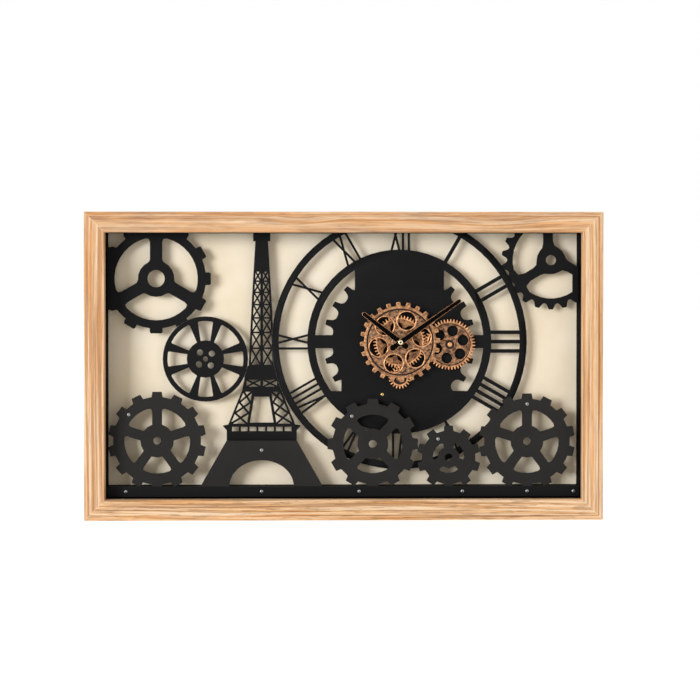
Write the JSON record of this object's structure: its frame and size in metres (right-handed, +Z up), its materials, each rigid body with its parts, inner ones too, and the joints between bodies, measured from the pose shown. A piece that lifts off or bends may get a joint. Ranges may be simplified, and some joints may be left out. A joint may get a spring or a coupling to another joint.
{
  "type": "gear wall clock",
  "caption": "Wide wall clock in a deep fir frame, with a skeleton dial, black cut-out motifs on a cream board and copper gears that turn behind the hands.",
  "frame": {"origin": "on the wall plane, in the middle of the rear face of the frame's top batten", "axes": "+X to the right seen from the front, +Y towards the wall, +Z up"},
  "size_m": [0.9, 0.07, 0.535],
  "materials": {
    "fir": "brushed fir, light oil",
    "black_wood": "matt black paint",
    "cream_board": "matt cream paint on fibreboard",
    "black_sheet": "fine matt black powder coat",
    "charcoal_plate": "textured charcoal powder coat",
    "copper_gear": "moulded, aged copper coating",
    "dark_copper": "moulded, darkened copper coating",
    "steel": "bright zinc plate",
    "brass": "turned brass",
    "black_plastic": "fine spark texture",
    "hand_black": "satin black with copper edges",
    "cell_wrap": "plain shrink wrap"
  },
  "bodies": {
    "housing": {"side_board_top": "fir", "face_strip_top": "fir", "inner_batten_top": "black_wood", "side_board_bottom": "fir", "face_strip_bottom": "fir", "inner_batten_bottom": "black_wood", "side_board_left": "fir", "face_strip_left": "fir", "inner_batten_left": "black_wood", "side_board_right": "fir", "face_strip_right": "fir", "inner_batten_right": "black_wood", "backboard": "cream_board", "rail_bar": "black_wood", "cutout_gear": "black_sheet", "cutout_reel": "black_sheet", "cutout_tower": "black_sheet", "cutout_dial": "black_sheet", "cutout_chainring": "black_sheet", "front_plate": "charcoal_plate", "standoff_cog_left": "steel", "standoff_base": "steel", "standoff_cog_middle": "steel", "standoff_cog_small": "steel", "standoff_cog_right": "steel", "rail_screw_1": "steel", "rail_screw_2": "steel", "rail_screw_3": "steel", "rail_screw_4": "steel", "rail_screw_5": "steel", "rail_screw_6": "steel", "disc_screw": "brass", "wheel_axle": "brass", "pinion_axle": "brass", "shaft_bushing": "brass", "bushing_nut": "brass", "wheel_clip": "steel", "movement_case": "black_plastic", "movement_cell": "cell_wrap", "motor_case": "black_plastic", "cell_box": "black_plastic", "motor_cell_upper": "cell_wrap", "motor_cell_lower": "cell_wrap", "hanger_left": "steel", "hanger_right": "steel"},
    "main_wheel_set": {"main_wheel": "copper_gear", "back_gear": "dark_copper"},
    "right_wheel_set": {"right_wheel": "copper_gear"},
    "bottom_pinion_set": {"bottom_pinion": "copper_gear"},
    "drive_pinion_set": {"drive_pinion": "copper_gear"},
    "minute_set": {"minute_hand": "hand_black", "minute_arbor": "brass", "hand_nut": "brass"},
    "hour_set": {"hour_hand": "hand_black", "hour_tube": "brass"},
    "knob_set": {"set_knob": "black_plastic"},
    "switch_set": {"gear_switch": "steel"}
  },
  "joints": [
    {"name": "main_wheel_turn", "type": "hinge", "parent": "housing", "child": "main_wheel_set", "pos_m": [0.09879, -0.04, -0.2087], "axis": [0, 1, 0], "continuous": true},
    {"name": "right_wheel_turn", "type": "hinge", "parent": "housing", "child": "right_wheel_set", "pos_m": [0.18638, -0.039, -0.21329], "axis": [0, 1, 0], "continuous": true},
    {"name": "bottom_pinion_turn", "type": "hinge", "parent": "housing", "child": "bottom_pinion_set", "pos_m": [0.09879, -0.039, -0.27135], "axis": [0, 1, 0], "continuous": true},
    {"name": "drive_pinion_turn", "type": "hinge", "parent": "housing", "child": "drive_pinion_set", "pos_m": [0.05074, -0.039, -0.18096], "axis": [0, 1, 0], "continuous": true},
    {"name": "minute_turn", "type": "hinge", "parent": "housing", "child": "minute_set", "pos_m": [0.09879, -0.057, -0.2087], "axis": [0, 1, 0], "continuous": true},
    {"name": "hour_turn", "type": "hinge", "parent": "housing", "child": "hour_set", "pos_m": [0.09879, -0.0544, -0.2087], "axis": [0, 1, 0], "continuous": true},
    {"name": "set_knob_turn", "type": "hinge", "parent": "housing", "child": "knob_set", "pos_m": [0.09879, -0.012, -0.1967], "axis": [0, 1, 0], "continuous": true},
    {"name": "gear_switch_slide", "type": "slide", "parent": "housing", "child": "switch_set", "axis": [0, 0, 1], "range_m": [0, 0.004]}
  ],
  "couplings": [
    {"joint": "right_wheel_turn", "follows": "main_wheel_turn", "ratio": -1.0417},
    {"joint": "bottom_pinion_turn", "follows": "main_wheel_turn", "ratio": -2.5},
    {"joint": "drive_pinion_turn", "follows": "main_wheel_turn", "ratio": -4.1667},
    {"joint": "hour_turn", "follows": "minute_turn", "ratio": 0.083333},
    {"joint": "set_knob_turn", "follows": "minute_turn", "ratio": -0.33333}
  ]
}
